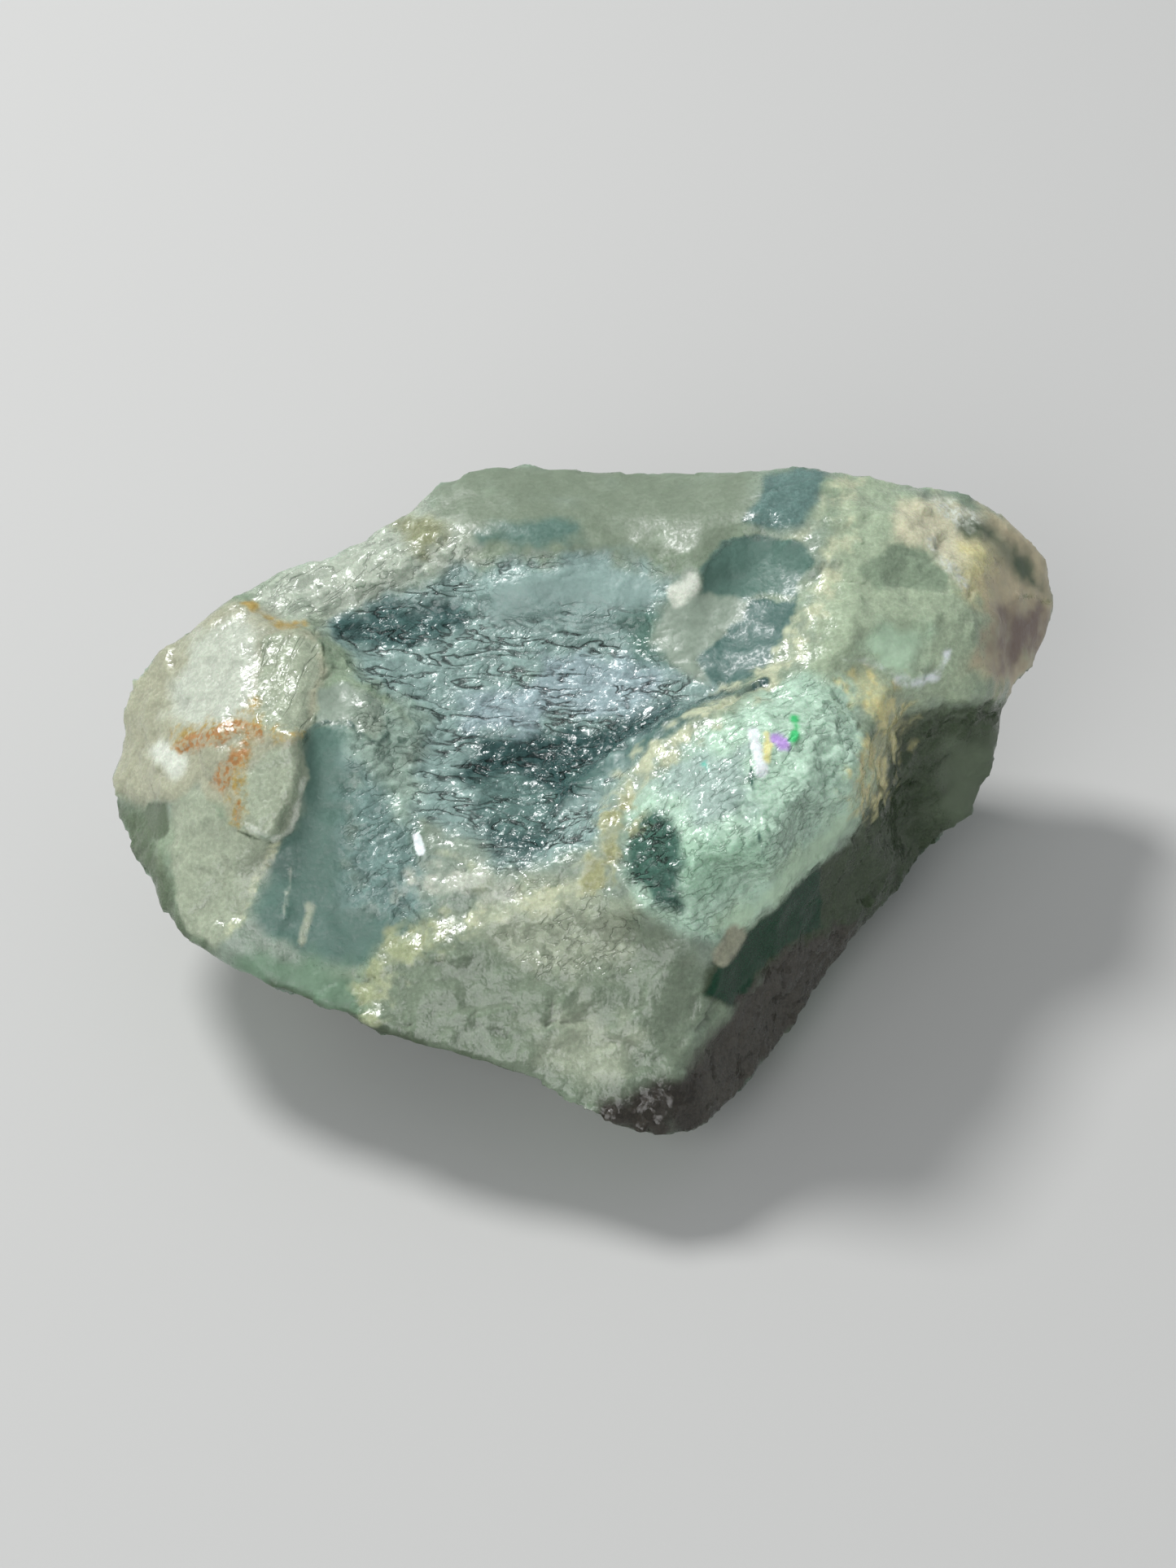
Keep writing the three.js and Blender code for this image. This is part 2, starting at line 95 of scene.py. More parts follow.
table_mesh = bpy.data.meshes.new("table")
half_table = TABLE_SIZE / 2
table_corners = [(x * half_table, y * half_table, 0) for x, y in [(-1, -1), (1, -1), (1, 1), (-1, 1)]]
table_mesh.from_pydata(table_corners, [], [(0, 1, 2, 3)])
table = bpy.data.objects.new("table", table_mesh)
bpy.context.scene.collection.objects.link(table)
table_top = bpy.data.materials.new("table_top")
table_top.use_nodes = True
table_finish = table_top.node_tree.nodes["Principled BSDF"].inputs
table_finish["Base Color"].default_value = TABLE_COLOUR
table_finish["Roughness"].default_value = TABLE_ROUGHNESS
table_mesh.materials.append(table_top)

for name, lamp in LAMPS.items():
    light = bpy.data.lights.new(name, "AREA")
    light.shape = "DISK"
    light.size = lamp["size"]
    light.energy = lamp["power"]
    made = bpy.data.objects.new(name, light)
    direction = Vector(lamp["towards"]).normalized()
    made.location = direction * lamp["distance"]
    made.rotation_euler = direction.to_track_quat("Z", "Y").to_euler()
    bpy.context.scene.collection.objects.link(made)

sky = bpy.data.worlds.new("sky")
sky.use_nodes = True
sky.node_tree.nodes["Background"].inputs["Color"].default_value = SKY_COLOUR
sky.node_tree.nodes["Background"].inputs["Strength"].default_value = SKY_STRENGTH
bpy.context.scene.world = sky
bpy.context.scene.view_settings.view_transform = "Standard"

# The stone's body
# One broken piece of fluorite, with the CAD solid's own form. Its loose triangles are merged and
# remeshed evenly, and the parts of the surface that show fine relief are split once more.
MERGE_DISTANCE = 0.001
BODY_VOXEL = 0.42


def plain_mesh(thing, name):
    """The evaluated mesh of an object, as a mesh of its own."""
    graph = bpy.context.evaluated_depsgraph_get()
    mesh = bpy.data.meshes.new_from_object(thing.evaluated_get(graph), depsgraph=graph)
    mesh.name = name
    return mesh


merged = bmesh.new()
merged.from_mesh(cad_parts["fluorite_chunk"].data)
bmesh.ops.remove_doubles(merged, verts=merged.verts, dist=MERGE_DISTANCE * MM)
stone_mesh = bpy.data.meshes.new("stone")
merged.to_mesh(stone_mesh)
merged.free()
stone = bpy.data.objects.new("fluorite", stone_mesh)
bpy.context.scene.collection.objects.link(stone)

remesh = stone.modifiers.new("even", "REMESH")
remesh.mode = "VOXEL"
remesh.voxel_size = BODY_VOXEL * MM
remesh.use_smooth_shade = True
body_mesh = plain_mesh(stone, "fluorite_body")
stone.modifiers.remove(remesh)


def places_of(mesh):
    """The mesh's points, in millimetres."""
    flat = np.empty(len(mesh.vertices) * 3)
    mesh.vertices.foreach_get("co", flat)
    return flat.reshape(-1, 3) / MM


def normals_of(mesh):
    """The directions that the mesh's points face."""
    flat = np.empty(len(mesh.vertices) * 3)
    mesh.vertices.foreach_get("normal", flat)
    return flat.reshape(-1, 3)


def distance_inside(pixels, outline, closed=True):
    """How far pixels lie inside a closed outline, in millimetres, or minus how far from a line."""
    corners = np.array(outline, float)
    ends = np.roll(corners, -1, axis=0) if closed else corners[1:]
    starts = corners if closed else corners[:-1]
    nearest = np.full(len(pixels), np.inf)
    inside = np.zeros(len(pixels), bool)
    for start, end in zip(starts, ends):
        way = end - start
        offset = pixels - start
        share = np.clip(offset @ way / (way @ way), 0, 1)
        nearest = np.minimum(nearest, np.linalg.norm(offset - share[:, None] * way, axis=1))
        if closed and way[1]:
            crosses = (start[1] > pixels[:, 1]) != (end[1] > pixels[:, 1])
            reach = start[0] + way[0] * (pixels[:, 1] - start[1]) / way[1]
            inside ^= crosses & (pixels[:, 0] < reach)
    return np.where(inside, nearest, -nearest) / PIXELS_PER_MM


def ramp(value, low, high):
    """0 below low, 1 above high, and smooth between them."""
    share = np.clip((value - low) / (high - low), 0, 1)
    return share * share * (3 - 2 * share)


ROUNDING = 0.6
FINE_GRAINED = [
    (380, 720), (560, 650), (830, 690), (870, 850), (940, 830), (1080, 900), (1060, 1000),
    (940, 1130), (790, 1150), (720, 1080), (600, 1120), (430, 1140), (440, 900), (370, 860),
]

finer = bmesh.new()
finer.from_mesh(body_mesh)
grained = distance_inside(pixels_of(places_of(body_mesh)), FINE_GRAINED) > 0
grained &= normals_of(body_mesh) @ ahead < 0
grained_edges = [edge for edge in finer.edges if all(grained[point.index] for point in edge.verts)]
bmesh.ops.subdivide_edges(finer, edges=grained_edges, cuts=1, use_grid_fill=True, smooth=ROUNDING)
bmesh.ops.triangulate(finer, faces=[face for face in finer.faces if len(face.verts) > 4])
finer.to_mesh(body_mesh)
finer.free()
stone.data = body_mesh

# The colours of the stone
# Fluorite is clear or milky, and its colour lies in it in patches: green and slate-blue windows,
# white and cream veins, and rust where iron has stained it. Each patch is drawn as its
# outline, or its middle line and half width, in the view's pixels, and kept as a distance.
# Some of these colours are painted light rather than the stone's own: painted shade, painted glints and
# sheen, and colours painted lighter where a face is turned from the lamps. Painted glint: a near-white
# highlight painted into the colour.
WHITE_GLINT = (236, 244, 244)
BRIGHT = (212, 218, 204)
WHITE = (188, 195, 180)
FROST = (180, 190, 174)
CHALK = (166, 168, 145)
PALE = (162, 172, 150)
MOSS = (124, 138, 118)
SAGE = (142, 157, 142)
MIST = (160, 182, 168)
LEAF = (168, 184, 157)
FERN = (139, 157, 133)
BROOK = (111, 139, 115)
# Dark olive green: the stone's own in the left band and window, and painted shade on the right face,
# the nose and the ledge.
REED = (96, 110, 88)
# Pale green, painted lighter than the stone as painted light.
LIT_MINT = (196, 224, 194)
DEW = (168, 191, 181)
JADE = (190, 220, 198)
GREEN = (168, 203, 178)
DEEP_GREEN = (66, 102, 89)
EMERALD = (4, 62, 36)
TEAL = (87, 119, 108)
POOL = (73, 107, 100)
BLUE_GREY = (122, 150, 144)
SEA = (143, 168, 162)
SLATE = (98, 127, 121)
# Painted shade: dark slate for the lines at steps, where faces turn from the light.
SLATE_SHADE = (84, 108, 98)
NIGHT = (48, 80, 78)
DUSK = (72, 103, 100)
# The plates' own pale blue-grey with a painted sheen in it.
SILVER_SHEEN = (154, 175, 178)
CREAM = (192, 198, 168)
IVORY = (216, 214, 184)
STRAW = (157, 166, 130)
# Yellow of the stone, painted lighter as painted light on the shaded flank.
LIT_YELLOW = (222, 216, 160)
TAN = (159, 162, 122)
KHAKI = (140, 145, 112)
OCHRE = (170, 148, 86)
RUST = (166, 124, 78)
# The nose's mauve, painted lighter than the stone as painted light.
LIT_MAUVE = (208, 196, 164)
PLUM = (132, 114, 104)
CRUST = (74, 71, 63)
# Painted shade: the crust's colour, darker where the tip faces down.
SHADED_CRUST = (50, 46, 38)
# Painted shade: the dark green of faces turned from the light, under rims and at steps.
SHADE = (65, 80, 56)
# Painted reflection: the colours of a thin film in a crack, and glints.
YELLOW_GLINT = (236, 232, 168)
VIOLET_GLINT = (190, 160, 222)
GREEN_GLINT = (70, 196, 120)
TEAL_GLINT = (96, 206, 186)

PATCHES = {
    "plateau": {
        "colour": MOSS, "edge": 1.5, "finish": "smooth",
        "outline": [(520, 560), (930, 560), (935, 640), (860, 690), (700, 690), (520, 690)],
    },
    "left_slope": {
        "colour": FROST, "edge": 1.2, "finish": "flaky",
        "outline": [(300, 740), (350, 670), (520, 610), (600, 690), (500, 725), (400, 770)],
    },
    "left_lobe": {
        "colour": CHALK, "edge": 0.5, "finish": "hackly",
        "outline": [
            (299, 735), (345, 765), (392, 780), (398, 830), (384, 886), (370, 911), (377, 954),
            (366, 1001), (345, 1026), (291, 1011), (241, 969), (209, 983), (174, 995), (120, 960),
            (120, 850), (200, 760),
        ],
    },
    "left_face": {
        "colour": WHITE, "edge": 0.8, "finish": "hackly",
        "outline": [
            (238, 786), (299, 752), (322, 779), (316, 858), (306, 883), (263, 890), (225, 900),
            (206, 880), (215, 830),
        ],
    },
    "combed_panel": {
        "colour": PALE, "edge": 0.3, "finish": "combed",
        "outline": [
            (320, 783), (363, 779), (391, 790), (395, 833), (381, 851), (384, 886), (366, 904),
            (320, 901), (308, 883), (316, 847),
        ],
    },
    "rust_plate": {
        "colour": PALE, "edge": 0.3, "finish": "hackly",
        "outline": [
            (320, 926), (370, 911), (377, 954), (366, 1001), (349, 1026), (331, 1029), (291, 1011),
            (291, 969),
        ],
    },
    "small_plate": {
        "colour": SAGE, "edge": 0.3, "finish": "smooth",
        "outline": [
            (390, 845), (427, 840), (470, 861), (474, 897), (463, 910), (427, 890), (386, 890),
        ],
    },
    "olive_facet": {
        "colour": PALE, "edge": 0.3, "finish": "hackly",
        "outline": [
            (209, 990), (241, 969), (284, 1011), (338, 1036), (331, 1061), (309, 1097), (306, 1126),
            (263, 1168), (224, 1133), (213, 1097), (209, 1044),
        ],
    },
    "left_band": {
        "colour": REED, "edge": 0.8, "finish": "hackly",
        "outline": [(120, 980), (178, 990), (200, 1060), (215, 1120), (265, 1175), (180, 1180)],
    },
    "window": {
        "colour": REED, "edge": 0.15, "finish": "glassy",
        "outline": [(179, 988), (208, 983), (207, 1022), (191, 1033), (176, 1012)],
    },
    "teal_facet": {
        "colour": TEAL, "edge": 0.6, "finish": "smooth",
        "outline": [
            (370, 911), (391, 888), (427, 883), (463, 911), (441, 940), (434, 990), (424, 1061),
            (434, 1111), (491, 1125), (513, 1136), (477, 1165), (440, 1190), (391, 1182),
            (350, 1160), (309, 1140), (320, 1095), (349, 1030), (366, 1001),
        ],
    },
    "grainy_patch": {
        "colour": BLUE_GREY, "edge": 1.2, "finish": "flaky",
        "outline": [
            (430, 920), (500, 960), (520, 1010), (525, 1060), (520, 1120), (470, 1130),
            (430, 1100), (425, 1000),
        ],
    },
    "hollow": {
        "colour": SEA, "edge": 0.9, "finish": "wrinkled",
        "outline": [
            (399, 769), (446, 749), (506, 716), (566, 700), (612, 690), (712, 683), (798, 696),
            (821, 723), (808, 753), (860, 790), (905, 835), (897, 858), (820, 895), (795, 929),
            (745, 988), (728, 1038), (678, 1060), (612, 1072), (592, 1038), (560, 1015),
            (505, 1000), (496, 960), (509, 925), (500, 870), (446, 838), (430, 800),
        ],
    },
    "hollow_floor": {
        "colour": MIST, "edge": 1.2, "finish": "flaky",
        "outline": [
            (440, 860), (500, 860), (530, 900), (505, 935),
            (500, 1010), (460, 960), (430, 900),
        ],
    },
    "hollow_top": {
        "colour": SEA, "edge": 1.0, "finish": "smooth",
        "outline": [
            (600, 715), (700, 692), (798, 700), (815, 725),
            (790, 752), (700, 745), (600, 770),
        ],
    },
    "dark_brow": {
        "colour": DUSK, "edge": 0.7, "finish": "wrinkled",
        "outline": [(405, 765), (470, 742), (575, 752), (560, 775), (505, 798), (445, 800)],
    },
    "night_pool": {
        "colour": NIGHT, "edge": 1.2, "finish": "wrinkled",
        "outline": [
            (570, 895), (650, 905), (760, 880), (830, 858), (790, 905), (720, 950), (680, 1010),
            (640, 1062), (600, 1040), (596, 985), (570, 950),
        ],
    },
    # Partly the plates' pale blue-grey, partly a painted sheen where they face the light.
    "silver_plates": {
        "colour": SILVER_SHEEN, "edge": 0.8, "finish": "wrinkled",
        "outline": [
            (640, 838), (675, 812), (761, 800), (834, 829), (800, 862), (740, 880), (690, 868),
            (640, 900), (570, 895), (562, 866), (600, 850),
        ],
    },
    "slate_plates": {
        "colour": SLATE, "edge": 0.8, "finish": "wrinkled",
        "outline": [(590, 960), (640, 950), (678, 975), (670, 1015), (625, 1025), (595, 1000)],
    },
    "hollow_side": {
        "colour": TEAL, "edge": 1.0, "finish": "hackly",
        "outline": [(765, 765), (820, 745), (860, 755), (850, 795), (835, 822), (780, 800)],
    },
    "pale_plate": {
        "colour": SAGE, "edge": 0.5, "finish": "smooth",
        "outline": [
            (815, 745), (850, 728), (915, 735), (915, 757), (858, 812), (870, 840), (835, 825),
            (800, 790),
        ],
    },
    "blue_window": {
        "colour": POOL, "edge": 0.25, "finish": "smooth",
        "outline": [
            (915, 756), (925, 736), (979, 740), (972, 776), (949, 812), (915, 843), (872, 838),
            (858, 810),
        ],
    },
    "trough": {
        "colour": POOL, "edge": 0.6, "finish": "smooth",
        "outline": [
            (925, 838), (897, 848), (840, 872), (770, 915), (700, 958), (715, 968), (780, 935),
            (830, 905), (880, 876), (930, 852),
        ],
    },
    "slate_peak": {
        "colour": SLATE, "edge": 0.35, "finish": "hackly",
        "outline": [
            (939, 580), (1017, 575), (1003, 617), (986, 641),
            (959, 650), (912, 641), (932, 614),
        ],
    },
    "slate_window": {
        "colour": TEAL, "edge": 0.25, "finish": "smooth",
        "outline": [
            (861, 695), (888, 668), (915, 656), (956, 661), (993, 672), (1000, 692), (983, 712),
            (979, 738), (940, 728), (915, 735), (862, 730),
        ],
    },
    "right_shoulder": {
        "colour": LEAF, "edge": 1.2, "finish": "hackly",
        "outline": [
            (1040, 570), (1110, 590), (1200, 640), (1235, 760), (1215, 860), (1110, 880),
            (985, 840), (990, 740), (1030, 690),
        ],
    },
    "green_triangle": {
        "colour": FERN, "edge": 0.3, "finish": "hackly",
        "outline": [(1050, 700), (1108, 668), (1138, 678), (1179, 725), (1130, 722), (1071, 724)],
    },
    # Pale green, painted lighter as painted light.
    "pale_oval": {
        "colour": LIT_MINT, "edge": 0.9, "finish": "smooth",
        "outline": [(1064, 785), (1085, 768), (1125, 772), (1140, 800), (1120, 835), (1080, 825)],
    },
    "cream_corner": {
        "colour": IVORY, "edge": 0.7, "finish": "hackly",
        "outline": [(1105, 615), (1150, 612), (1215, 640), (1195, 720), (1150, 690), (1100, 660)],
    },
    # The yellow flank, turned from the light, painted lighter as painted light.
    "yellow_flank": {
        "colour": LIT_YELLOW, "edge": 1.0, "finish": "hackly",
        "outline": [(1180, 672), (1219, 660), (1235, 700), (1225, 750), (1195, 735)],
    },
    # Painted light: the nose is turned from the lamps and its mauve is painted lighter.
    "nose": {
        "colour": LIT_MAUVE, "edge": 1.5, "finish": "smooth",
        "outline": [
            (1190, 630), (1330, 640), (1330, 850), (1240, 850), (1200, 815), (1219, 763),
            (1205, 722), (1230, 690),
        ],
    },
    "nose_shade": {
        "colour": REED, "edge": 0.8, "finish": "smooth",
        "outline": [
            (1165, 632), (1210, 640), (1262, 690), (1285, 730),
            (1262, 718), (1225, 672), (1180, 650),
        ],
    },
    "nose_purple": {
        "colour": PLUM, "edge": 1.3, "finish": "smooth",
        "outline": [(1232, 752), (1275, 745), (1295, 762), (1270, 812), (1232, 822), (1215, 795)],
    },
    "plateau_shade": {
        "colour": TEAL, "edge": 0.6, "finish": "smooth",
        "outline": [(585, 655), (640, 643), (712, 640), (716, 664), (640, 672), (590, 668)],
    },
    "plateau_stain": {
        "colour": KHAKI, "edge": 0.9, "finish": "hackly",
        "outline": [(490, 640), (530, 635), (545, 660), (520, 675), (495, 668)],
    },
    "lobe": {
        "colour": JADE, "edge": 0.6, "finish": "flaky",
        "outline": [
            (937, 842), (989, 827), (1044, 842), (1063, 927), (1080, 946), (1060, 990),
            (1045, 1026), (1008, 1062), (970, 1098), (940, 1130), (908, 1150), (871, 1158),
            (834, 1150), (800, 1130), (776, 1105), (765, 1057), (770, 1005), (793, 968),
            (852, 912),
        ],
    },
    "lobe_hollow": {
        "colour": GREEN, "edge": 1.2, "finish": "flaky",
        "outline": [(822, 1027), (937, 1022), (950, 1060), (908, 1075), (860, 1110), (830, 1090)],
    },
    "lobe_flakes": {
        "colour": DEW, "edge": 1.2, "finish": "flaky",
        "outline": [
            (810, 920), (910, 925), (922, 975), (915, 1010),
            (870, 1015), (830, 990), (800, 960),
        ],
    },
    "lobe_glow": {
        "colour": LIT_MINT, "edge": 0.9, "finish": "smooth",
        "outline": [
            (1072, 930), (1078, 960), (1045, 1030), (1005, 1065), (940, 1125), (905, 1148),
            (880, 1140), (930, 1095), (990, 1040), (1040, 990), (1050, 950),
        ],
    },
    "ribbed_patch": {
        "colour": DEEP_GREEN, "edge": 0.6, "finish": "wrinkled",
        "outline": [
            (785, 998), (818, 1001), (838, 1030), (832, 1071), (838, 1118), (800, 1116),
            (776, 1086), (762, 1057), (771, 1023),
        ],
    },
    "front_face": {
        "colour": MOSS, "edge": 1.2, "finish": "hackly",
        "outline": [
            (455, 1235), (470, 1170), (540, 1130), (700, 1090), (765, 1095), (860, 1165),
            (868, 1240), (850, 1340), (800, 1420), (560, 1330), (450, 1290),
        ],
    },
    "front_glow": {
        "colour": PALE, "edge": 1.3, "finish": "hackly",
        "outline": [(655, 1260), (720, 1245), (780, 1275), (775, 1320), (720, 1340), (660, 1300)],
    },
    "front_grain": {
        "colour": PALE, "edge": 1.2, "finish": "flaky",
        "outline": [(600, 1080), (740, 1080), (790, 1130), (770, 1190), (660, 1200), (600, 1150)],
    },
    "green_foot": {
        "colour": BROOK, "edge": 1.2, "finish": "smooth",
        "outline": [(290, 1165), (400, 1185), (450, 1200), (450, 1300), (330, 1260), (270, 1200)],
    },
    # Painted shade: the underside below the overhanging front rim.
    "shaded_under_rim": {
        "colour": SHADE, "edge": 0.5, "finish": "smooth",
        "outline": [
            (270, 1190), (340, 1212), (430, 1246), (560, 1290), (700, 1350), (650, 1370),
            (500, 1320), (300, 1240),
        ],
    },
    # Painted shade: the right face, turned from the light, painted dark.
    "shaded_right_face": {
        "colour": SHADE, "edge": 0.4, "finish": "crusty",
        "outline": [
            (1104, 887), (1150, 868), (1250, 860), (1250, 1010), (1160, 1060), (1037, 1160),
            (960, 1190), (900, 1240), (860, 1220), (880, 1172), (940, 1130), (1010, 1066),
            (1050, 1026), (1082, 960),
        ],
    },
    # Partly the stone's olive green, partly painted shade of the right face.
    "shaded_right_glass": {
        "colour": REED, "edge": 1.0, "finish": "smooth",
        "outline": [(1165, 912), (1250, 890), (1240, 1000), (1180, 1040), (1150, 990)],
    },
    # Partly a grey plate, partly painted shade of the right face.
    "shaded_grey_plate": {
        "colour": SHADE, "edge": 0.3, "finish": "hackly",
        "outline": [
            (1007, 1068), (1048, 1030), (1075, 1060),
            (1063, 1110), (1040, 1128), (1009, 1138),
        ],
    },
    "emerald_window": {
        "colour": EMERALD, "edge": 0.2, "finish": "glassy",
        "outline": [
            (1008, 1060), (1009, 1138), (967, 1160), (932, 1190), (900, 1235), (866, 1222),
            (885, 1180), (925, 1142), (955, 1116), (985, 1080),
        ],
    },
    "crust": {
        "colour": CRUST, "edge": 0.6, "finish": "crusty",
        "outline": [
            (967, 1162), (1037, 1134), (1078, 1140), (1060, 1200), (960, 1340), (830, 1430),
            (840, 1340), (871, 1270), (905, 1235), (935, 1190),
        ],
    },
    # Painted shade: the tip's crust, darkened where it faces down.
    "tip": {
        "colour": SHADED_CRUST, "edge": 1.0, "finish": "crusty",
        "outline": [(735, 1350), (800, 1330), (850, 1330), (880, 1390), (800, 1430), (720, 1400)],
    },
}
VEINS = {
    "main_vein": {
        "colour": CREAM, "edge": 0.7, "half": 0.75, "broken": "streaked",
        "line": [
            (1042, 570), (1035, 640), (1028, 700), (998, 752), (975, 800), (935, 838), (905, 858),
            (845, 893), (800, 928), (768, 968), (752, 1010), (740, 1055), (700, 1095), (620, 1118),
            (540, 1145), (478, 1178), (455, 1240),
        ],
    },
    # A yellow vein, painted lighter as painted light where it lies in shade.
    "side_vein": {
        "colour": LIT_YELLOW, "edge": 0.9, "half": 1.2, "broken": "streaked",
        "line": [(1060, 835), (1088, 860), (1098, 890), (1075, 930), (1062, 975)],
    },
    "yellow_vein": {
        "colour": TAN, "edge": 0.8, "half": 0.8, "broken": "streaked",
        "line": [(765, 1000), (745, 1045), (728, 1080)],
    },
    "cream_rim": {
        "colour": STRAW, "edge": 0.8, "half": 1.0, "broken": "streaked",
        "line": [(452, 1238), (462, 1195), (490, 1165), (540, 1150)],
    },
    "middle_vein": {
        "colour": WHITE, "edge": 0.8, "half": 0.7, "broken": "streaked",
        "line": [(500, 1090), (545, 1075), (590, 1080), (620, 1110)],
    },
    "stain": {
        "colour": OCHRE, "edge": 0.6, "half": 0.45, "broken": "speckled",
        "line": [(222, 905), (255, 896), (290, 888), (318, 898), (345, 903), (362, 905)],
    },
    "stain_drop": {
        "colour": OCHRE, "edge": 0.5, "half": 0.55, "broken": "speckled",
        "line": [(312, 868), (305, 905), (290, 945), (292, 975), (290, 1010)],
    },
    "rust": {
        "colour": RUST, "edge": 0.3, "half": 0.5, "broken": "speckled",
        "line": [(226, 918), (244, 908), (264, 910), (276, 897), (300, 892), (318, 905)],
    },
    "rust_spot": {
        "colour": RUST, "edge": 0.35, "half": 0.6, "broken": "speckled",
        "line": [(300, 918), (290, 930), (280, 945), (270, 962)],
    },
    "rust_thread": {
        "colour": RUST, "edge": 0.2, "half": 0.15, "broken": "speckled",
        "line": [(290, 972), (294, 990), (290, 1010)],
    },
    "ochre_crack": {
        "colour": OCHRE, "edge": 0.3, "half": 0.2, "broken": "streaked",
        "line": [(299, 740), (320, 752), (341, 763), (372, 770)],
    },
    # Painted highlight: a white line along the shoulder's edge.
    "shoulder_edge_glint": {
        "colour": WHITE_GLINT, "edge": 0.3, "half": 0.2, "broken": "streaked",
        "line": [(1037, 810), (1064, 812), (1100, 830), (1120, 845), (1150, 830), (1165, 800)],
    },
    "sliver": {
        "colour": FROST, "edge": 0.2, "half": 0.12,
        "line": [(358, 1066), (353, 1100), (348, 1128)],
    },
    "long_sliver": {
        "colour": PALE, "edge": 0.25, "half": 0.2,
        "line": [(383, 1112), (376, 1138), (372, 1158)],
    },
    "facet_rim": {
        "colour": CREAM, "edge": 0.25, "half": 0.25, "broken": "speckled",
        "line": [(338, 1038), (325, 1062), (308, 1100), (303, 1124), (282, 1142)],
    },
    "scalloped_rim": {
        "colour": BRIGHT, "edge": 0.2, "half": 0.15,
        "line": [(299, 1012), (318, 1024), (335, 1029), (352, 1024), (364, 1003), (372, 960)],
    },
    # A white crystal fleck, painted as a bright glint.
    "white_crystal_glint": {
        "colour": WHITE_GLINT, "edge": 0.12, "half": 0.3,
        "line": [(512, 1028), (517, 1046)],
    },
    "cream_crystal": {
        "colour": BRIGHT, "edge": 0.25, "half": 0.75,
        "line": [(832, 730), (850, 718)],
    },
    "cream_chip": {
        "colour": CHALK, "edge": 0.25, "half": 0.7,
        "line": [(905, 1152), (885, 1176)],
    },
    "white_blob": {
        "colour": BRIGHT, "edge": 0.4, "half": 0.8,
        "line": [(200, 925), (215, 938)],
    },
    # Painted shade: a dark line at the foot of the step under the rust plate.
    "lobe_foot_shade": {
        "colour": SHADE, "edge": 0.12, "half": 0.06,
        "line": [(262, 992), (286, 1018), (318, 1033), (340, 1036), (358, 1022)],
    },
    # Painted shade: a dark line at the foot of the step under the small plate.
    "plate_foot_shade": {
        "colour": SLATE_SHADE, "edge": 0.2, "half": 0.1,
        "line": [(372, 912), (386, 893), (405, 885), (428, 888), (446, 902), (465, 914), (476, 900)],
    },
    # Painted shade: a dark line on the panel's side, turned from the light.
    "panel_side_shade": {
        "colour": SHADE, "edge": 0.12, "half": 0.05,
        "line": [(396, 790), (398, 826), (386, 846), (388, 884), (370, 904)],
    },
    # Painted shade: a dark line at the foot of the slate peak.
    "peak_foot_shade": {
        "colour": SLATE_SHADE, "edge": 0.15, "half": 0.08,
        "line": [(914, 640), (934, 634), (960, 648), (985, 642)],
    },
    # Painted shade: a dark line where the surface steps down to the window.
    "window_top_shade": {
        "colour": SLATE_SHADE, "edge": 0.2, "half": 0.1,
        "line": [(862, 712), (868, 692), (890, 670), (916, 658), (956, 664)],
    },
    # A seam in the right face, painted dark as painted shade.
    "shaded_face_seam": {
        "colour": SHADE, "edge": 0.15, "half": 0.07,
        "line": [(1052, 985), (1080, 990), (1098, 1002), (1110, 1020), (1140, 1030)],
    },
    # A seam in the right face, painted dark as painted shade.
    "shaded_crust_seam": {
        "colour": SHADE, "edge": 0.15, "half": 0.08,
        "line": [(1000, 1142), (1022, 1138), (1048, 1130), (1070, 1110), (1095, 1098)],
    },
    # Painted reflection: the white, yellow, violet and green of a thin film in a crack.
    "glint_white": {
        "colour": WHITE_GLINT, "edge": 0.25, "half": 0.43,
        "line": [(926, 902), (930, 922), (936, 944)],
    },
    "glint_yellow": {
        "colour": YELLOW_GLINT, "edge": 0.25, "half": 0.33,
        "line": [(942, 902), (945, 916), (942, 930)],
    },
    "glint_violet": {
        "colour": VIOLET_GLINT, "edge": 0.25, "half": 0.43,
        "line": [(952, 904), (962, 914)],
    },
    "glint_green": {
        "colour": GREEN_GLINT, "edge": 0.25, "half": 0.26,
        "line": [(976, 884), (980, 892), (976, 908)],
    },
    # Painted glint: teal specks.
    "glint_teal": {
        "colour": TEAL_GLINT, "edge": 0.25, "half": 0.2, "broken": "speckled",
        "line": [(866, 938), (870, 946)],
    },
    "grain_row": {
        "colour": BRIGHT, "edge": 0.3, "half": 0.25, "broken": "speckled",
        "line": [(1143, 664), (1152, 682), (1166, 694), (1178, 708), (1186, 720)],
    },
    "grain_heap": {
        "colour": BRIGHT, "edge": 0.5, "half": 0.6, "broken": "speckled",
        "line": [(1158, 622), (1176, 632), (1196, 640)],
    },
    "nose_vein": {
        "colour": TAN, "edge": 0.2, "half": 0.15,
        "line": [(1252, 734), (1272, 732), (1288, 741)],
    },
    # Painted shade: a dark line along the bottom of the trough.
    "trough_shade_line": {
        "colour": NIGHT, "edge": 0.3, "half": 0.12,
        "line": [(940, 838), (900, 852), (850, 862), (825, 880), (760, 915), (700, 962)],
    },
    "lobe_crack": {
        "colour": DEEP_GREEN, "edge": 0.15, "half": 0.05,
        "line": [(921, 912), (924, 968), (930, 1012), (940, 1064)],
    },
    "ledge_shadow": {
        "colour": REED, "edge": 0.25, "half": 0.1,
        "line": [(1105, 886), (1128, 890), (1150, 872), (1180, 880), (1225, 868)],
    },
}

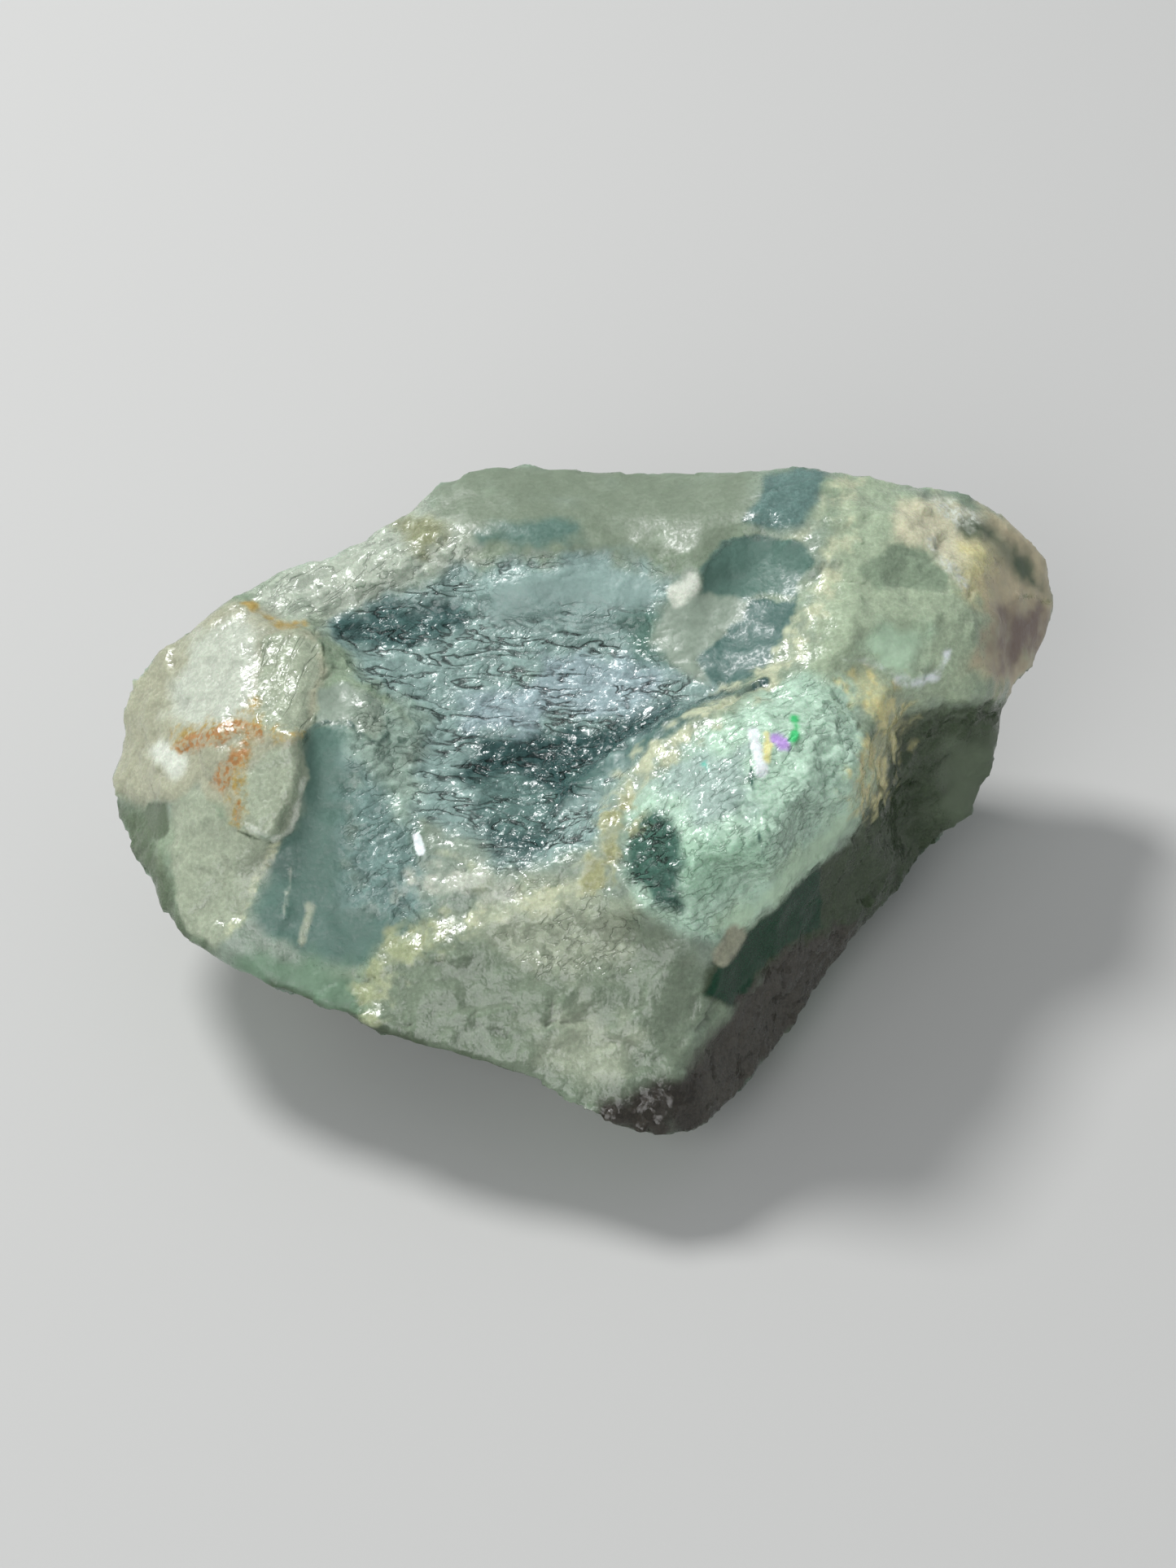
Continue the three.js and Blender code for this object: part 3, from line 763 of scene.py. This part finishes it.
# Where the patches lie
# A patch ends where the surface turns out of the view, and the far side has clouds of the same
# colours. Soft patches are mixed on the mesh's points, and crisp or broken ones are kept as
# layers for the material. Elsewhere the stone is hackly, and glassy on its cleavage faces.
FADE = 3.0
TURNED_AWAY = -0.15
TURNED_TOWARDS = 0.1
LIFT_OFF = 0.4
SOFTENING = 8
FINISHES = ["hackly", "smooth", "glassy", "flaky", "wrinkled", "combed", "crusty"]
VEIN_FINISH = "hackly"
CRISP_EDGE = 0.32
OUTSIDE = 20
WOBBLE_SIZE = 2.2
SOFT_WOBBLE = 1.2
CLOUD_DETAIL = 4
CLOUD_SIZE = 8
DEEP_SIZE = 11
VEIL_SIZE = 21
VEIL_WIDTH = 0.07
TEAL_SHARE = 0.9
JADE_SHARE = 0.6
VEIL_SHARE = 0.6
SPLIT_FACINGS = [
    (0, 0, -1), (-0.24, 0.91, -0.33), (0.13, 0.92, -0.36), (0, 0.55, -0.83), (-0.55, -0.25, -0.8),
]
NEARLY_FLAT = 0.993
FLAT = 0.999


def smoothed(values, edges, passes):
    """Values on a mesh's points, evened out with their neighbours'."""
    counts = np.bincount(edges.ravel(), minlength=len(values))
    for _ in range(passes):
        sums = np.bincount(edges[:, 0], values[edges[:, 1]], len(values))
        sums += np.bincount(edges[:, 1], values[edges[:, 0]], len(values))
        values = (values + sums / counts) / 2
    return values


def how_seen(mesh, places, normals, edges):
    """1 where the view sees the surface, 0 where it doesn't, and between them near the outline."""
    towards_eye = eye - places
    towards_eye /= np.linalg.norm(towards_eye, axis=1)[:, None]
    facing = np.einsum("ij,ij->i", normals, towards_eye)
    tree = BVHTree.FromPolygons(places.tolist(), [list(face.vertices) for face in mesh.polygons])
    starts = places + normals * LIFT_OFF
    seen = ramp(facing, TURNED_AWAY, TURNED_TOWARDS)
    for number in np.nonzero(seen > 0)[0]:
        if tree.ray_cast(Vector(starts[number]), Vector(towards_eye[number]))[0]:
            seen[number] = 0
    return smoothed(seen, edges, SOFTENING)


def keep(mesh, name, values):
    """Keeps a value, or three values, for each of the mesh's points."""
    is_vector = values.ndim == 2
    made = mesh.attributes.new(name, "FLOAT_VECTOR" if is_vector else "FLOAT", "POINT")
    made.data.foreach_set("vector" if is_vector else "value", values.astype(np.float32).ravel())


def linear(colour):
    """The linear red, green and blue of a colour from 0 to 255."""
    shares = [part / 255 for part in colour]
    return [part / 12.92 if part <= 0.04045 else ((part + 0.055) / 1.055) ** 2.4 for part in shares]


def clouds(size):
    """Soft noise about 0 on the stone's points, its largest waves of one size in mm."""
    return np.array([noise.fractal(Vector(place / size), 1.0, 2.0, CLOUD_DETAIL) for place in places])


def tinge(tint, share, colour):
    """Brings a share of a colour into the colours of the points."""
    return tint + share[:, None] * (np.array(linear(colour)) - tint)


places = places_of(body_mesh)
normals = normals_of(body_mesh)
pixels = pixels_of(places)
edges = np.empty(len(body_mesh.edges) * 2, np.int32)
body_mesh.edges.foreach_get("vertices", edges)
edges = edges.reshape(-1, 2)
seen = how_seen(body_mesh, places, normals, edges)
keep(body_mesh, "rest_mm", places)

flat = np.zeros(len(places))
for facing in SPLIT_FACINGS:
    alignment = normals @ (np.array(facing) / np.linalg.norm(facing))
    flat = np.maximum(flat, ramp(alignment, NEARLY_FLAT, FLAT))
flat = smoothed(flat, edges, 2)

weights = {finish: np.zeros(len(places)) for finish in FINISHES}
weights["hackly"] += 1 - flat
weights["glassy"] += flat
wobble = clouds(WOBBLE_SIZE)
tint = tinge(np.array([linear(FERN)] * len(places)), ramp(clouds(CLOUD_SIZE), -0.3, 0.3), SAGE)
deep = clouds(DEEP_SIZE)
tint = tinge(tint, (1 - seen) * TEAL_SHARE * ramp(deep, -0.05, 0.5), TEAL)
tint = tinge(tint, (1 - seen) * JADE_SHARE * ramp(-deep, 0.05, 0.5), JADE)
band = ramp(-abs(clouds(VEIL_SIZE)), -VEIL_WIDTH, 0) * ramp(wobble, -0.3, 0.3)
tint = tinge(tint, VEIL_SHARE * band, CREAM)
crisp = {}
for name, patch in {**PATCHES, **VEINS}.items():
    edge = patch["edge"]
    if "outline" in patch:
        depth = distance_inside(pixels, patch["outline"])
    else:
        depth = patch["half"] + distance_inside(pixels, patch["line"], closed=False)
    depth = np.minimum(depth, (seen - 0.5) * FADE)
    cover = ramp(depth, -edge, edge)
    for finish in FINISHES:
        weights[finish] += cover * ((finish == patch.get("finish", VEIN_FINISH)) - weights[finish])
    if edge < CRISP_EDGE or "broken" in patch:
        layer = (patch["colour"], patch.get("broken"))
        crisp[layer] = np.maximum(crisp.get(layer, -OUTSIDE), depth / edge)
    else:
        ragged = ramp(depth + wobble * edge * SOFT_WOBBLE, -edge, edge)
        tint = tinge(tint, ragged, patch["colour"])
for number, depth in enumerate(crisp.values()):
    keep(body_mesh, f"layer_{number}", depth)
keep(body_mesh, "tint", tint)
for finish in FINISHES:
    keep(body_mesh, finish, weights[finish])

# The broken surface
# Fluorite breaks in fine steps and wrinkles. Each finish has its own creases, which run along a
# direction. The same pattern sinks the mesh and shades the material.
GRAINS = {
    "wrinkled": {"turn": 6, "length": 1.5, "spacing": 0.55, "bend": 1.5, "width": 0.055, "sink": 0.24},
    "flaky": {"turn": -34, "length": 1.2, "spacing": 0.50, "bend": 0.9, "width": 0.05, "sink": 0.14},
    "combed": {"turn": -72, "length": 4.0, "spacing": 0.50, "bend": 0.5, "width": 0.05, "sink": 0.08},
}
VALLEY_WIDTHS = 4
WARP_SCALE = 0.45
WAVE_SCALE = 0.62
WAVE_ROUGHNESS = 0.55
FACETS = {"Large Facet": 3.4, "Small Facet": 1.3}
FACET_SINKS = {"Large Facet": 0.30, "Small Facet": 0.11}
FACET_SHARES = {
    "hackly": 1.0, "smooth": 0.35, "flaky": 0.5, "wrinkled": 0.35, "combed": 0.2, "crusty": 1.0,
}
FACET_WARP = 0.5
LUMP_SIZE = 1.9
LUMP_SINK = 0.16
MIDDLE_SINK = 0.25


def add(tree, kind, inputs=None, **settings):
    """A new node with its settings, and its inputs as values or links."""
    made = tree.nodes.new(kind)
    for name, value in settings.items():
        setattr(made, name, value)
    for socket, value in (inputs or {}).items():
        if isinstance(value, bpy.types.NodeSocket):
            tree.links.new(value, made.inputs[socket])
        else:
            made.inputs[socket].default_value = value
    return made


def calculate(tree, operation, *values):
    """The result of a sum, product or other operation on numbers."""
    return add(tree, "ShaderNodeMath", dict(enumerate(values)), operation=operation).outputs[0]


def calculate_vector(tree, operation, *values):
    """The same for vectors."""
    return add(tree, "ShaderNodeVectorMath", dict(enumerate(values)), operation=operation).outputs[0]


def scaled(tree, vector, scale):
    """A vector or a colour times a number."""
    return add(tree, "ShaderNodeVectorMath", {0: vector, 3: scale}, operation="SCALE").outputs[0]


def ease(tree, value, low, high, at_low=0, at_high=1):
    """A smooth ramp: at_low where the value is below low, at_high where it is above high."""
    inputs = dict(enumerate([value, low, high, at_low, at_high]))
    return add(tree, "ShaderNodeMapRange", inputs, interpolation_type="SMOOTHSTEP").outputs[0]


def lumps(tree, place, size, detail=2):
    """Noise from about 0.3 to 0.7, with lumps of a size in millimetres: its value and colour."""
    made = add(tree, "ShaderNodeTexNoise", {"Vector": place, "Scale": 1 / size, "Detail": detail})
    return made.outputs[0], made.outputs[1]


def new_group(name, kind, inputs, outputs):
    """A node group with named sockets, and the nodes that hold its inputs and outputs."""
    group = bpy.data.node_groups.new(name, kind)
    for direction, sockets in (("INPUT", inputs), ("OUTPUT", outputs)):
        for socket, (socket_kind, value) in sockets.items():
            made = group.interface.new_socket(socket, in_out=direction, socket_type=socket_kind)
            if value is not None:
                made.default_value = value
    return group, group.nodes.new("NodeGroupInput").outputs, group.nodes.new("NodeGroupOutput").inputs


def creases_group(kind):
    """Long creases along X, turned about Z, each at the bottom of a wider valley."""
    group, given, result = new_group(
        "creases_" + kind, kind,
        {
            "Place": ("NodeSocketVector", None),
            "Turn": ("NodeSocketFloat", 0.0),
            "Length": ("NodeSocketFloat", 2.0),
            "Spacing": ("NodeSocketFloat", 1.0),
            "Bend": ("NodeSocketFloat", 1.0),
            "Width": ("NodeSocketFloat", 0.05),
        },
        {
            "Crease": ("NodeSocketFloat", 0.0),
            "Valley": ("NodeSocketFloat", 0.0),
        },
    )
    turned = add(
        group, "ShaderNodeVectorRotate",
        {"Vector": given["Place"], "Angle": given["Turn"]}, rotation_type="Z_AXIS",
    ).outputs[0]
    size = add(
        group, "ShaderNodeCombineXYZ",
        {0: given["Length"], 1: given["Spacing"], 2: given["Spacing"]},
    ).outputs[0]
    cells = calculate_vector(group, "DIVIDE", turned, size)
    warp = add(group, "ShaderNodeTexNoise", {"Vector": cells, "Scale": WARP_SCALE, "Detail": 0})
    bent = calculate_vector(group, "SUBTRACT", warp.outputs[1], (0.5, 0.5, 0.5))
    cells = calculate_vector(group, "ADD", cells, scaled(group, bent, given["Bend"]))
    waves = add(
        group, "ShaderNodeTexNoise",
        {"Vector": cells, "Scale": WAVE_SCALE, "Detail": 2, "Roughness": WAVE_ROUGHNESS},
    )
    away = calculate(group, "ABSOLUTE", calculate(group, "SUBTRACT", waves.outputs[0], 0.5))
    fading = ease(group, warp.outputs[0], 0.38, 0.60, 0.15, 1)
    crease = calculate(group, "MULTIPLY", ease(group, away, 0, given["Width"], 1, 0), fading)
    valley_width = calculate(group, "MULTIPLY", given["Width"], VALLEY_WIDTHS)
    group.links.new(crease, result["Crease"])
    group.links.new(ease(group, away, 0, valley_width, 1, 0), result["Valley"])
    return group


def creases(tree, group, place, finish):
    """The creases of a finish at a place: the sockets Crease and Valley."""
    kind = "GeometryNodeGroup" if tree.bl_idname == "GeometryNodeTree" else "ShaderNodeGroup"
    sizes = GRAINS[finish]
    made = add(tree, kind, node_tree=group)
    values = {
        "Turn": radians(sizes["turn"]), "Length": sizes["length"], "Spacing": sizes["spacing"],
        "Bend": sizes["bend"], "Width": sizes["width"],
    }
    for socket, value in values.items():
        made.inputs[socket].default_value = value
    tree.links.new(place, made.inputs["Place"])
    return made.outputs


relief, given, result = new_group(
    "broken_surface", "GeometryNodeTree",
    {
        "Geometry": ("NodeSocketGeometry", None),
        **{finish + " sink": ("NodeSocketFloat", sizes["sink"]) for finish, sizes in GRAINS.items()},
        "Lump Size": ("NodeSocketFloat", LUMP_SIZE),
        "Lump Sink": ("NodeSocketFloat", LUMP_SINK),
        **{name + " Size": ("NodeSocketFloat", size) for name, size in FACETS.items()},
        **{name + " Sink": ("NodeSocketFloat", sink) for name, sink in FACET_SINKS.items()},
        "Middle Sink": ("NodeSocketFloat", MIDDLE_SINK),
        "Material": ("NodeSocketMaterial", None),
    },
    {"Geometry": ("NodeSocketGeometry", None)},
)
relief_creases = creases_group("GeometryNodeTree")


def named(name, data_type="FLOAT"):
    """A value that the mesh's points keep, for the geometry nodes."""
    made = add(relief, "GeometryNodeInputNamedAttribute", {"Name": name}, data_type=data_type)
    return made.outputs["Attribute"]


def facets(name):
    """How far the surface sinks where it is broken into tilted facets, each with its own plane."""
    scale = calculate(relief, "DIVIDE", 1, given[name + " Size"])
    warp = add(relief, "ShaderNodeTexNoise", {"Vector": rest, "Scale": scale, "Detail": 2}).outputs[1]
    warp = calculate_vector(relief, "SUBTRACT", warp, (0.5, 0.5, 0.5))
    warp = scaled(relief, warp, calculate(relief, "MULTIPLY", given[name + " Size"], 2 * FACET_WARP))
    place = calculate_vector(relief, "ADD", rest, warp)
    facet = add(relief, "ShaderNodeTexVoronoi", {"Vector": place, "Scale": scale}, feature="F1").outputs
    tilt = calculate_vector(relief, "SUBTRACT", facet["Color"], (0.5, 0.5, 0.5))
    offset = scaled(relief, calculate_vector(relief, "SUBTRACT", place, facet["Position"]), scale)
    slope = add(relief, "ShaderNodeVectorMath", {0: tilt, 1: offset}, operation="DOT_PRODUCT")
    slope = calculate(relief, "MULTIPLY_ADD", slope.outputs[1], 2, 0.5)
    return calculate(relief, "MULTIPLY", slope, given[name + " Sink"])


rest = named("rest_mm", "FLOAT_VECTOR")
lump_scale = calculate(relief, "DIVIDE", 1, given["Lump Size"])
lumpy = add(relief, "ShaderNodeTexNoise", {"Vector": rest, "Scale": lump_scale, "Detail": 2}).outputs[0]
sink = calculate(relief, "MULTIPLY", lumpy, given["Lump Sink"])
sink = calculate(relief, "ADD", sink, facets("Large Facet"))
sink = calculate(relief, "ADD", sink, facets("Small Facet"))
sink = calculate(relief, "SUBTRACT", sink, given["Middle Sink"])
broken = 0.0
for finish, share in FACET_SHARES.items():
    broken = calculate(relief, "MULTIPLY_ADD", named(finish), share, broken)
sink = calculate(relief, "MULTIPLY", sink, broken)
for finish in GRAINS:
    valley = creases(relief, relief_creases, rest, finish)["Valley"]
    valley = calculate(relief, "MULTIPLY", valley, given[finish + " sink"])
    sink = calculate(relief, "MULTIPLY_ADD", valley, named(finish), sink)
inward = scaled(relief, add(relief, "GeometryNodeInputNormal").outputs[0], -MM)
offset = scaled(relief, inward, sink)
sunk = add(relief, "GeometryNodeSetPosition", {"Geometry": given["Geometry"], "Offset": offset})
real = add(relief, "GeometryNodeRealizeInstances", {0: sunk.outputs[0]})
painted = add(
    relief, "GeometryNodeSetMaterial", {"Geometry": real.outputs[0], "Material": given["Material"]},
)
relief.links.new(painted.outputs[0], result["Geometry"])

# The fluorite
# Milky crystal with a glassy surface: light goes a few millimetres in and comes back green. The
# crisp layers are mixed in their order over the colour of the points, and small tilted chips and
# flecks break it up. The creases darken the colour as painted shade.
FLUORITE_IOR = 1.434
SHINE = 0.6
GLOW_COLOUR = (0.75, 1.0, 0.85)
GLOW_DEPTH = 1.4
GLOW_SHARE = 0.45
CLEAR_SHARE = 0.12
WANDER_SIZE = 1.5
SPECKLE_SIZE = 0.45
CRISP_WOBBLE = 5
FINE_SIZE = 0.30
FINE_HEIGHT = 0.04
MIDDLE_SIZE = 1.0
MIDDLE_HEIGHT = 0.13
SMOOTH_SHARE = 0.65
EVENNESS = 0.8
FLECK = 0.08
DARK_MOTTLE = 0.92
PALE_MOTTLE = 1.06
LEAST_ROUGHNESS = 0.14
MOST_ROUGHNESS = 0.34
SATIN = 0.18
CHIP_SIZE = 0.7
CHIP_BEND = 1.2
CHIP_LEAN = {
    "hackly": 0.11, "smooth": 0.05, "glassy": 0.03, "flaky": 0.7, "wrinkled": 0.3, "combed": 0.3,
    "crusty": 0.5,
}
CROSSING = 0.8
# How much each finish's creases darken the colour, as painted shade.
CREASE_SHADE = {"wrinkled": 0.75, "flaky": 0.24, "combed": 0.25}
CREASE_HEIGHT = {"wrinkled": 0.10, "flaky": 0.07, "combed": 0.06}

fluorite = bpy.data.materials.new("fluorite")
fluorite.use_nodes = True
shader = fluorite.node_tree
crystal = shader.nodes["Principled BSDF"].inputs


def held(name, output="Fac"):
    """A value that the mesh's points keep, for the material."""
    return add(shader, "ShaderNodeAttribute", attribute_name=name).outputs[output]


def paint(colour):
    """A colour from 0 to 255, as a shader takes it."""
    return linear(colour) + [1]


def blend(share, colour, other):
    """A colour with a share of another mixed in."""
    return add(shader, "ShaderNodeMix", {0: share, 6: colour, 7: other}, data_type="RGBA").outputs[2]


rest = held("rest_mm", "Vector")
wander, wanders = lumps(shader, rest, WANDER_SIZE)
wobble = calculate(shader, "SUBTRACT", wander, 0.5)
breaks = {
    "streaked": ease(shader, wander, 0.42, 0.60, 0.4, 1.0),
    "speckled": ease(shader, lumps(shader, rest, SPECKLE_SIZE)[0], 0.44, 0.58, 0.3, 1.0),
}
colour = held("tint", "Color")
for number, (layer_colour, broken) in enumerate(crisp):
    ragged = calculate(shader, "MULTIPLY_ADD", wobble, CRISP_WOBBLE, held(f"layer_{number}"))
    cover = ease(shader, ragged, -1, 1)
    if broken:
        cover = calculate(shader, "MULTIPLY", cover, breaks[broken])
    colour = blend(cover, colour, paint(layer_colour))

shader_creases = creases_group("ShaderNodeTree")
fine = lumps(shader, rest, FINE_SIZE)[0]
middle = lumps(shader, rest, MIDDLE_SIZE)[0]
# Painted shade: how much the creases darken the colour.
dark = 0.0
plain = calculate(shader, "MULTIPLY_ADD", held("smooth"), SMOOTH_SHARE, held("glassy"))
coarse = calculate(shader, "MULTIPLY_ADD", plain, -EVENNESS, 1)
height = calculate(shader, "MULTIPLY", middle, MIDDLE_HEIGHT)
height = calculate(shader, "MULTIPLY_ADD", fine, FINE_HEIGHT, height)
height = calculate(shader, "MULTIPLY", height, coarse)
bent = scaled(shader, calculate_vector(shader, "SUBTRACT", wanders, (0.5, 0.5, 0.5)), CHIP_BEND)
chips = calculate_vector(shader, "ADD", rest, bent)
chips = add(shader, "ShaderNodeTexVoronoi", {"Vector": chips, "Scale": 1 / CHIP_SIZE}, feature="F1")
tilt = calculate_vector(shader, "SUBTRACT", chips.outputs["Color"], (0.5, 0.5, 0.5))
tipped = 0.0
for finish, lean in CHIP_LEAN.items():
    tipped = calculate(shader, "MULTIPLY_ADD", held(finish), lean, tipped)
tilt = scaled(shader, tilt, tipped)
facing = calculate_vector(shader, "ADD", add(shader, "ShaderNodeNewGeometry").outputs["Normal"], tilt)
facing = calculate_vector(shader, "NORMALIZE", facing)
for finish in GRAINS:
    share = held(finish)
    if finish == "flaky":
        share = calculate(shader, "MULTIPLY_ADD", held("wrinkled"), CROSSING, share)
    sockets = creases(shader, shader_creases, rest, finish)
    crease = calculate(shader, "MULTIPLY", sockets["Crease"], share)
    dark = calculate(shader, "MULTIPLY_ADD", crease, CREASE_SHADE[finish], dark)
    height = calculate(shader, "MULTIPLY_ADD", crease, -CREASE_HEIGHT[finish], height)
flecks = calculate(shader, "ADD", ease(shader, fine, 0.32, 0.68, -FLECK, FLECK), -1)
mottle = ease(shader, middle, 0.35, 0.65, DARK_MOTTLE, PALE_MOTTLE)
mottle = calculate(shader, "ADD", mottle, flecks)
mottle = calculate(shader, "MULTIPLY_ADD", mottle, coarse, 1)
# The painted shade of the creases darkens the colour.
mottle = calculate(shader, "MULTIPLY", mottle, calculate(shader, "SUBTRACT", 1, dark))
colour = scaled(shader, colour, mottle)

bump = add(
    shader, "ShaderNodeBump",
    {"Height": height, "Distance": MM, "Strength": 1.0, "Normal": facing},
)
roughness = ease(shader, fine, 0.35, 0.65, LEAST_ROUGHNESS, MOST_ROUGHNESS)
roughness = calculate(shader, "MULTIPLY_ADD", held("smooth"), SATIN, roughness)
shader.links.new(colour, crystal["Base Color"])
shader.links.new(roughness, crystal["Roughness"])
shader.links.new(bump.outputs[0], crystal["Normal"])
crystal["IOR"].default_value = FLUORITE_IOR
crystal["Specular IOR Level"].default_value = SHINE
crystal["Transmission Weight"].default_value = CLEAR_SHARE
crystal["Subsurface Weight"].default_value = GLOW_SHARE
crystal["Subsurface Radius"].default_value = GLOW_COLOUR
crystal["Subsurface Scale"].default_value = GLOW_DEPTH * MM

body_mesh.materials.clear()
worn = stone.modifiers.new("broken surface", "NODES")
worn.node_group = relief
for item in relief.interface.items_tree:
    if item.in_out == "INPUT" and item.name == "Material":
        worn[item.identifier] = fluorite
finished_mesh = plain_mesh(stone, "fluorite")
stone.modifiers.remove(worn)
stone.data = finished_mesh

low, high = (np.array(corner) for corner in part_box("fluorite_chunk"))
finished = np.clip(places_of(finished_mesh) * MM, low, high)
finished_mesh.vertices.foreach_set("co", finished.ravel())
finished_mesh.update()
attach(stone, "root")
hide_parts("fluorite_chunk")
